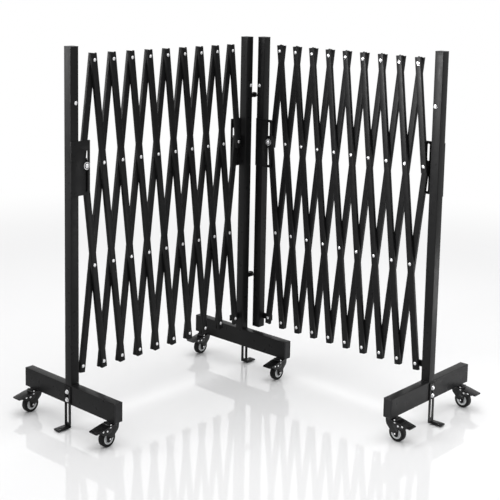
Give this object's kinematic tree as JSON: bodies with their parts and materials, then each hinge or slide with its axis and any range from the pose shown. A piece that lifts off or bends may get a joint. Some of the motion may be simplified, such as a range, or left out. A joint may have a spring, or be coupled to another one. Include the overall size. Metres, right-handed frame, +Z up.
{
  "type": "expandable safety barrier",
  "caption": "Mobile trellis barrier: hinged lazy-tongs panels that stretch and fold between square posts on braked caster bases, with sliding floor anchors.",
  "frame": {"origin": "middle of the bounding box, on the floor", "axes": "+Z up; the left panel runs along X, the right panel along Y towards -Y, and the viewer of the picture stands at -X, -Y"},
  "size_m": [1.4518, 1.385, 1.55],
  "materials": {
    "black_coating": "satin black powder coat",
    "caster_black": "semi-gloss black enamel",
    "wheel_tread": "matte black rubber",
    "hub_plastic": "light grey moulded hub",
    "cap_plastic": "black moulded cap",
    "bright_zinc": "bright zinc plating"
  },
  "bodies": {
    "centre_bracket": {"centre_bracket": "black_coating"},
    "centre_far_fork": {"centre_far_fork": "caster_black"},
    "centre_far_wheel": {"centre_far_wheel": "wheel_tread"},
    "centre_left_post": {"centre_left_post": "black_coating"},
    "centre_near_fork": {"centre_near_fork": "caster_black"},
    "centre_near_wheel": {"centre_near_wheel": "wheel_tread"},
    "centre_right_post": {"centre_right_post": "black_coating"},
    "left_bracket": {"left_bracket": "black_coating"},
    "left_end_post": {"left_end_post": "black_coating"},
    "left_far_fork": {"left_far_fork": "caster_black"},
    "left_far_wheel": {"left_far_wheel": "wheel_tread"},
    "left_front_bar_1": {"left_front_bar_1": "black_coating"},
    "left_front_bar_10": {"left_front_bar_10": "black_coating"},
    "left_front_bar_2": {"left_front_bar_2": "black_coating"},
    "left_front_bar_3": {"left_front_bar_3": "black_coating"},
    "left_front_bar_4": {"left_front_bar_4": "black_coating"},
    "left_front_bar_5": {"left_front_bar_5": "black_coating"},
    "left_front_bar_6": {"left_front_bar_6": "black_coating"},
    "left_front_bar_7": {"left_front_bar_7": "black_coating"},
    "left_front_bar_8": {"left_front_bar_8": "black_coating"},
    "left_front_bar_9": {"left_front_bar_9": "black_coating"},
    "left_near_fork": {"left_near_fork": "caster_black"},
    "left_near_wheel": {"left_near_wheel": "wheel_tread"},
    "left_rear_bar_1": {"left_rear_bar_1": "black_coating"},
    "left_rear_bar_10": {"left_rear_bar_10": "black_coating"},
    "left_rear_bar_2": {"left_rear_bar_2": "black_coating"},
    "left_rear_bar_3": {"left_rear_bar_3": "black_coating"},
    "left_rear_bar_4": {"left_rear_bar_4": "black_coating"},
    "left_rear_bar_5": {"left_rear_bar_5": "black_coating"},
    "left_rear_bar_6": {"left_rear_bar_6": "black_coating"},
    "left_rear_bar_7": {"left_rear_bar_7": "black_coating"},
    "left_rear_bar_8": {"left_rear_bar_8": "black_coating"},
    "left_rear_bar_9": {"left_rear_bar_9": "black_coating"},
    "right_bracket": {"right_bracket": "black_coating"},
    "right_end_post": {"right_end_post": "black_coating"},
    "right_far_fork": {"right_far_fork": "caster_black"},
    "right_far_wheel": {"right_far_wheel": "wheel_tread"},
    "right_front_bar_1": {"right_front_bar_1": "black_coating"},
    "right_front_bar_10": {"right_front_bar_10": "black_coating"},
    "right_front_bar_2": {"right_front_bar_2": "black_coating"},
    "right_front_bar_3": {"right_front_bar_3": "black_coating"},
    "right_front_bar_4": {"right_front_bar_4": "black_coating"},
    "right_front_bar_5": {"right_front_bar_5": "black_coating"},
    "right_front_bar_6": {"right_front_bar_6": "black_coating"},
    "right_front_bar_7": {"right_front_bar_7": "black_coating"},
    "right_front_bar_8": {"right_front_bar_8": "black_coating"},
    "right_front_bar_9": {"right_front_bar_9": "black_coating"},
    "right_near_fork": {"right_near_fork": "caster_black"},
    "right_near_wheel": {"right_near_wheel": "wheel_tread"},
    "right_rear_bar_1": {"right_rear_bar_1": "black_coating"},
    "right_rear_bar_10": {"right_rear_bar_10": "black_coating"},
    "right_rear_bar_2": {"right_rear_bar_2": "black_coating"},
    "right_rear_bar_3": {"right_rear_bar_3": "black_coating"},
    "right_rear_bar_4": {"right_rear_bar_4": "black_coating"},
    "right_rear_bar_5": {"right_rear_bar_5": "black_coating"},
    "right_rear_bar_6": {"right_rear_bar_6": "black_coating"},
    "right_rear_bar_7": {"right_rear_bar_7": "black_coating"},
    "right_rear_bar_8": {"right_rear_bar_8": "black_coating"},
    "right_rear_bar_9": {"right_rear_bar_9": "black_coating"}
  },
  "joints": [
    {"name": "left_fold", "type": "hinge", "parent": "centre_left_post", "child": "left_front_bar_9", "pos_m": [0.32788, 0.40745, 0.24], "axis": [0, -1, 0], "range_deg": [-4.32, 21.58]},
    {"name": "left_rear_bar_8_turn", "type": "hinge", "parent": "left_front_bar_9", "child": "left_rear_bar_8", "pos_m": [0.17825, 0.40745, 1.49108], "axis": [0, -1, 0], "range_deg": [-43.21, 8.69]},
    {"name": "left_front_bar_6_turn", "type": "hinge", "parent": "left_rear_bar_8", "child": "left_front_bar_6", "pos_m": [0.02863, 0.40745, 0.24], "axis": [0, -1, 0], "range_deg": [-8.69, 43.21]},
    {"name": "left_rear_bar_5_turn", "type": "hinge", "parent": "left_front_bar_6", "child": "left_rear_bar_5", "pos_m": [-0.121, 0.40745, 1.49108], "axis": [0, -1, 0], "range_deg": [-43.21, 8.69]},
    {"name": "left_front_bar_3_turn", "type": "hinge", "parent": "left_rear_bar_5", "child": "left_front_bar_3", "pos_m": [-0.27063, 0.40745, 0.24], "axis": [0, -1, 0], "range_deg": [-8.69, 43.21]},
    {"name": "left_rear_bar_2_turn", "type": "hinge", "parent": "left_front_bar_3", "child": "left_rear_bar_2", "pos_m": [-0.42025, 0.40745, 1.49108], "axis": [0, -1, 0], "range_deg": [-43.21, 8.69]},
    {"name": "left_end_post_turn", "type": "hinge", "parent": "left_rear_bar_2", "child": "left_end_post", "pos_m": [-0.56988, 0.40745, 0.24], "axis": [0, -1, 0], "range_deg": [-4.37, 21.63]},
    {"name": "left_front_bar_8_turn", "type": "hinge", "parent": "left_rear_bar_8", "child": "left_front_bar_8", "pos_m": [0.12838, 0.40745, 1.07406], "axis": [0, -1, 0], "range_deg": [-8.69, 43.21]},
    {"name": "left_front_bar_7_turn", "type": "hinge", "parent": "left_rear_bar_8", "child": "left_front_bar_7", "pos_m": [0.0785, 0.40745, 0.65703], "axis": [0, -1, 0], "range_deg": [-8.69, 43.21]},
    {"name": "left_front_bar_5_turn", "type": "hinge", "parent": "left_rear_bar_5", "child": "left_front_bar_5", "pos_m": [-0.17087, 0.40745, 1.07406], "axis": [0, -1, 0], "range_deg": [-8.69, 43.21]},
    {"name": "left_front_bar_4_turn", "type": "hinge", "parent": "left_rear_bar_5", "child": "left_front_bar_4", "pos_m": [-0.22075, 0.40745, 0.65703], "axis": [0, -1, 0], "range_deg": [-8.69, 43.21]},
    {"name": "left_front_bar_2_turn", "type": "hinge", "parent": "left_rear_bar_2", "child": "left_front_bar_2", "pos_m": [-0.47013, 0.40745, 1.07406], "axis": [0, -1, 0], "range_deg": [-8.69, 43.21]},
    {"name": "left_front_bar_1_turn", "type": "hinge", "parent": "left_rear_bar_2", "child": "left_front_bar_1", "pos_m": [-0.52, 0.40745, 0.65703], "axis": [0, -1, 0], "range_deg": [-8.69, 43.21]},
    {"name": "left_rear_bar_9_turn", "type": "hinge", "parent": "left_front_bar_9", "child": "left_rear_bar_9", "pos_m": [0.22813, 0.40745, 1.07406], "axis": [0, -1, 0], "range_deg": [-43.21, 8.69]},
    {"name": "left_rear_bar_10_turn", "type": "hinge", "parent": "left_front_bar_9", "child": "left_rear_bar_10", "pos_m": [0.278, 0.40745, 0.65703], "axis": [0, -1, 0], "range_deg": [-43.21, 8.69]},
    {"name": "left_rear_bar_7_turn", "type": "hinge", "parent": "left_front_bar_6", "child": "left_rear_bar_7", "pos_m": [-0.02125, 0.40745, 0.65703], "axis": [0, -1, 0], "range_deg": [-43.21, 8.69]},
    {"name": "left_rear_bar_6_turn", "type": "hinge", "parent": "left_front_bar_6", "child": "left_rear_bar_6", "pos_m": [-0.07112, 0.40745, 1.07406], "axis": [0, -1, 0], "range_deg": [-43.21, 8.69]},
    {"name": "left_rear_bar_4_turn", "type": "hinge", "parent": "left_front_bar_3", "child": "left_rear_bar_4", "pos_m": [-0.3205, 0.40745, 0.65703], "axis": [0, -1, 0], "range_deg": [-43.21, 8.69]},
    {"name": "left_rear_bar_3_turn", "type": "hinge", "parent": "left_front_bar_3", "child": "left_rear_bar_3", "pos_m": [-0.37038, 0.40745, 1.07406], "axis": [0, -1, 0], "range_deg": [-43.21, 8.69]},
    {"name": "left_rear_bar_1_turn", "type": "hinge", "parent": "left_front_bar_2", "child": "left_rear_bar_1", "pos_m": [-0.52, 0.40745, 1.49108], "axis": [0, -1, 0], "range_deg": [-43.21, 8.69]},
    {"name": "left_front_bar_10_turn", "type": "hinge", "parent": "left_rear_bar_9", "child": "left_front_bar_10", "pos_m": [0.278, 0.40745, 1.49108], "axis": [0, -1, 0], "range_deg": [-8.69, 43.21]},
    {"name": "centre_swing", "type": "hinge", "parent": "centre_left_post", "child": "centre_right_post", "pos_m": [0.44088, 0.40745, 0.431], "axis": [0, 0, 1], "range_deg": [-25, 90]},
    {"name": "right_fold", "type": "hinge", "parent": "centre_right_post", "child": "right_rear_bar_2", "pos_m": [0.44088, 0.29445, 0.24], "axis": [1, 0, 0], "range_deg": [-3.81, 22.09]},
    {"name": "right_front_bar_3_turn", "type": "hinge", "parent": "right_rear_bar_2", "child": "right_front_bar_3", "pos_m": [0.44088, 0.15597, 1.49237], "axis": [1, 0, 0], "range_deg": [-44.23, 7.67]},
    {"name": "right_rear_bar_5_turn", "type": "hinge", "parent": "right_front_bar_3", "child": "right_rear_bar_5", "pos_m": [0.44088, 0.01748, 0.24], "axis": [1, 0, 0], "range_deg": [-7.67, 44.23]},
    {"name": "right_front_bar_6_turn", "type": "hinge", "parent": "right_rear_bar_5", "child": "right_front_bar_6", "pos_m": [0.44088, -0.121, 1.49237], "axis": [1, 0, 0], "range_deg": [-44.23, 7.67]},
    {"name": "right_rear_bar_8_turn", "type": "hinge", "parent": "right_front_bar_6", "child": "right_rear_bar_8", "pos_m": [0.44088, -0.25948, 0.24], "axis": [1, 0, 0], "range_deg": [-7.67, 44.23]},
    {"name": "right_front_bar_9_turn", "type": "hinge", "parent": "right_rear_bar_8", "child": "right_front_bar_9", "pos_m": [0.44088, -0.39797, 1.49237], "axis": [1, 0, 0], "range_deg": [-44.23, 7.67]},
    {"name": "right_end_post_turn", "type": "hinge", "parent": "right_front_bar_9", "child": "right_end_post", "pos_m": [0.44088, -0.53645, 0.24], "axis": [1, 0, 0], "range_deg": [-3.86, 22.14]},
    {"name": "right_front_bar_2_turn", "type": "hinge", "parent": "right_rear_bar_2", "child": "right_front_bar_2", "pos_m": [0.44088, 0.20213, 1.07491], "axis": [1, 0, 0], "range_deg": [-44.23, 7.67]},
    {"name": "right_front_bar_1_turn", "type": "hinge", "parent": "right_rear_bar_2", "child": "right_front_bar_1", "pos_m": [0.44088, 0.24829, 0.65746], "axis": [1, 0, 0], "range_deg": [-44.23, 7.67]},
    {"name": "right_rear_bar_3_turn", "type": "hinge", "parent": "right_front_bar_3", "child": "right_rear_bar_3", "pos_m": [0.44088, 0.10981, 1.07491], "axis": [1, 0, 0], "range_deg": [-7.67, 44.23]},
    {"name": "right_rear_bar_4_turn", "type": "hinge", "parent": "right_front_bar_3", "child": "right_rear_bar_4", "pos_m": [0.44088, 0.06364, 0.65746], "axis": [1, 0, 0], "range_deg": [-7.67, 44.23]},
    {"name": "right_front_bar_5_turn", "type": "hinge", "parent": "right_rear_bar_5", "child": "right_front_bar_5", "pos_m": [0.44088, -0.07484, 1.07491], "axis": [1, 0, 0], "range_deg": [-44.23, 7.67]},
    {"name": "right_front_bar_4_turn", "type": "hinge", "parent": "right_rear_bar_5", "child": "right_front_bar_4", "pos_m": [0.44088, -0.02868, 0.65746], "axis": [1, 0, 0], "range_deg": [-44.23, 7.67]},
    {"name": "right_rear_bar_6_turn", "type": "hinge", "parent": "right_front_bar_6", "child": "right_rear_bar_6", "pos_m": [0.44088, -0.16716, 1.07491], "axis": [1, 0, 0], "range_deg": [-7.67, 44.23]},
    {"name": "right_rear_bar_7_turn", "type": "hinge", "parent": "right_front_bar_6", "child": "right_rear_bar_7", "pos_m": [0.44088, -0.21332, 0.65746], "axis": [1, 0, 0], "range_deg": [-7.67, 44.23]},
    {"name": "right_front_bar_8_turn", "type": "hinge", "parent": "right_rear_bar_8", "child": "right_front_bar_8", "pos_m": [0.44088, -0.35181, 1.07491], "axis": [1, 0, 0], "range_deg": [-44.23, 7.67]},
    {"name": "right_front_bar_7_turn", "type": "hinge", "parent": "right_rear_bar_8", "child": "right_front_bar_7", "pos_m": [0.44088, -0.30565, 0.65746], "axis": [1, 0, 0], "range_deg": [-44.23, 7.67]},
    {"name": "right_rear_bar_9_turn", "type": "hinge", "parent": "right_front_bar_9", "child": "right_rear_bar_9", "pos_m": [0.44088, -0.44413, 1.07491], "axis": [1, 0, 0], "range_deg": [-7.67, 44.23]},
    {"name": "right_rear_bar_10_turn", "type": "hinge", "parent": "right_front_bar_9", "child": "right_rear_bar_10", "pos_m": [0.44088, -0.49029, 0.65746], "axis": [1, 0, 0], "range_deg": [-7.67, 44.23]},
    {"name": "right_rear_bar_1_turn", "type": "hinge", "parent": "right_front_bar_2", "child": "right_rear_bar_1", "pos_m": [0.44088, 0.24829, 1.49237], "axis": [1, 0, 0], "range_deg": [-7.67, 44.23]},
    {"name": "right_front_bar_10_turn", "type": "hinge", "parent": "right_rear_bar_9", "child": "right_front_bar_10", "pos_m": [0.44088, -0.49029, 1.49237], "axis": [1, 0, 0], "range_deg": [-44.23, 7.67]},
    {"name": "left_near_swivel", "type": "hinge", "parent": "left_end_post", "child": "left_near_fork", "pos_m": [-0.62788, 0.16245, 0.1], "axis": [0, 0, 1], "continuous": true},
    {"name": "left_near_roll", "type": "hinge", "parent": "left_near_fork", "child": "left_near_wheel", "pos_m": [-0.65388, 0.16245, 0.035], "axis": [0, 1, 0], "continuous": true},
    {"name": "left_far_swivel", "type": "hinge", "parent": "left_end_post", "child": "left_far_fork", "pos_m": [-0.62788, 0.65245, 0.1], "axis": [0, 0, 1], "continuous": true},
    {"name": "left_far_roll", "type": "hinge", "parent": "left_far_fork", "child": "left_far_wheel", "pos_m": [-0.65388, 0.65245, 0.035], "axis": [0, 1, 0], "continuous": true},
    {"name": "left_bracket_slide", "type": "slide", "parent": "left_end_post", "child": "left_bracket", "axis": [0, 0, 1], "range_m": [-0.005, 0.08]},
    {"name": "centre_near_swivel", "type": "hinge", "parent": "centre_left_post", "child": "centre_near_fork", "pos_m": [0.38588, 0.16245, 0.1], "axis": [0, 0, 1], "continuous": true},
    {"name": "centre_near_roll", "type": "hinge", "parent": "centre_near_fork", "child": "centre_near_wheel", "pos_m": [0.35988, 0.16245, 0.035], "axis": [0, 1, 0], "continuous": true},
    {"name": "centre_far_swivel", "type": "hinge", "parent": "centre_left_post", "child": "centre_far_fork", "pos_m": [0.38588, 0.65245, 0.1], "axis": [0, 0, 1], "continuous": true},
    {"name": "centre_far_roll", "type": "hinge", "parent": "centre_far_fork", "child": "centre_far_wheel", "pos_m": [0.35988, 0.65245, 0.035], "axis": [0, 1, 0], "continuous": true},
    {"name": "centre_bracket_slide", "type": "slide", "parent": "centre_left_post", "child": "centre_bracket", "axis": [0, 0, 1], "range_m": [-0.005, 0.08]},
    {"name": "right_near_swivel", "type": "hinge", "parent": "right_end_post", "child": "right_near_fork", "pos_m": [0.19588, -0.59445, 0.1], "axis": [0, 0, 1], "continuous": true},
    {"name": "right_near_roll", "type": "hinge", "parent": "right_near_fork", "child": "right_near_wheel", "pos_m": [0.19588, -0.62045, 0.035], "axis": [1, 0, 0], "continuous": true},
    {"name": "right_far_swivel", "type": "hinge", "parent": "right_end_post", "child": "right_far_fork", "pos_m": [0.68588, -0.59445, 0.1], "axis": [0, 0, 1], "continuous": true},
    {"name": "right_far_roll", "type": "hinge", "parent": "right_far_fork", "child": "right_far_wheel", "pos_m": [0.68588, -0.62045, 0.035], "axis": [1, 0, 0], "continuous": true},
    {"name": "right_bracket_slide", "type": "slide", "parent": "right_end_post", "child": "right_bracket", "axis": [0, 0, 1], "range_m": [-0.005, 0.08]}
  ],
  "couplings": [
    {"joint": "left_rear_bar_8_turn", "follows": "left_fold", "ratio": -2},
    {"joint": "left_front_bar_6_turn", "follows": "left_fold", "ratio": 2},
    {"joint": "left_rear_bar_5_turn", "follows": "left_fold", "ratio": -2},
    {"joint": "left_front_bar_3_turn", "follows": "left_fold", "ratio": 2},
    {"joint": "left_rear_bar_2_turn", "follows": "left_fold", "ratio": -2},
    {"joint": "left_end_post_turn", "follows": "left_fold", "ratio": 1},
    {"joint": "left_front_bar_8_turn", "follows": "left_fold", "ratio": 2},
    {"joint": "left_front_bar_7_turn", "follows": "left_fold", "ratio": 2},
    {"joint": "left_front_bar_5_turn", "follows": "left_fold", "ratio": 2},
    {"joint": "left_front_bar_4_turn", "follows": "left_fold", "ratio": 2},
    {"joint": "left_front_bar_2_turn", "follows": "left_fold", "ratio": 2},
    {"joint": "left_front_bar_1_turn", "follows": "left_fold", "ratio": 2},
    {"joint": "left_rear_bar_9_turn", "follows": "left_fold", "ratio": -2},
    {"joint": "left_rear_bar_10_turn", "follows": "left_fold", "ratio": -2},
    {"joint": "left_rear_bar_7_turn", "follows": "left_fold", "ratio": -2},
    {"joint": "left_rear_bar_6_turn", "follows": "left_fold", "ratio": -2},
    {"joint": "left_rear_bar_4_turn", "follows": "left_fold", "ratio": -2},
    {"joint": "left_rear_bar_3_turn", "follows": "left_fold", "ratio": -2},
    {"joint": "left_rear_bar_1_turn", "follows": "left_fold", "ratio": -2},
    {"joint": "left_front_bar_10_turn", "follows": "left_fold", "ratio": 2},
    {"joint": "right_front_bar_3_turn", "follows": "right_fold", "ratio": -2},
    {"joint": "right_rear_bar_5_turn", "follows": "right_fold", "ratio": 2},
    {"joint": "right_front_bar_6_turn", "follows": "right_fold", "ratio": -2},
    {"joint": "right_rear_bar_8_turn", "follows": "right_fold", "ratio": 2},
    {"joint": "right_front_bar_9_turn", "follows": "right_fold", "ratio": -2},
    {"joint": "right_end_post_turn", "follows": "right_fold", "ratio": 1},
    {"joint": "right_front_bar_2_turn", "follows": "right_fold", "ratio": -2},
    {"joint": "right_front_bar_1_turn", "follows": "right_fold", "ratio": -2},
    {"joint": "right_rear_bar_3_turn", "follows": "right_fold", "ratio": 2},
    {"joint": "right_rear_bar_4_turn", "follows": "right_fold", "ratio": 2},
    {"joint": "right_front_bar_5_turn", "follows": "right_fold", "ratio": -2},
    {"joint": "right_front_bar_4_turn", "follows": "right_fold", "ratio": -2},
    {"joint": "right_rear_bar_6_turn", "follows": "right_fold", "ratio": 2},
    {"joint": "right_rear_bar_7_turn", "follows": "right_fold", "ratio": 2},
    {"joint": "right_front_bar_8_turn", "follows": "right_fold", "ratio": -2},
    {"joint": "right_front_bar_7_turn", "follows": "right_fold", "ratio": -2},
    {"joint": "right_rear_bar_9_turn", "follows": "right_fold", "ratio": 2},
    {"joint": "right_rear_bar_10_turn", "follows": "right_fold", "ratio": 2},
    {"joint": "right_rear_bar_1_turn", "follows": "right_fold", "ratio": 2},
    {"joint": "right_front_bar_10_turn", "follows": "right_fold", "ratio": -2}
  ]
}
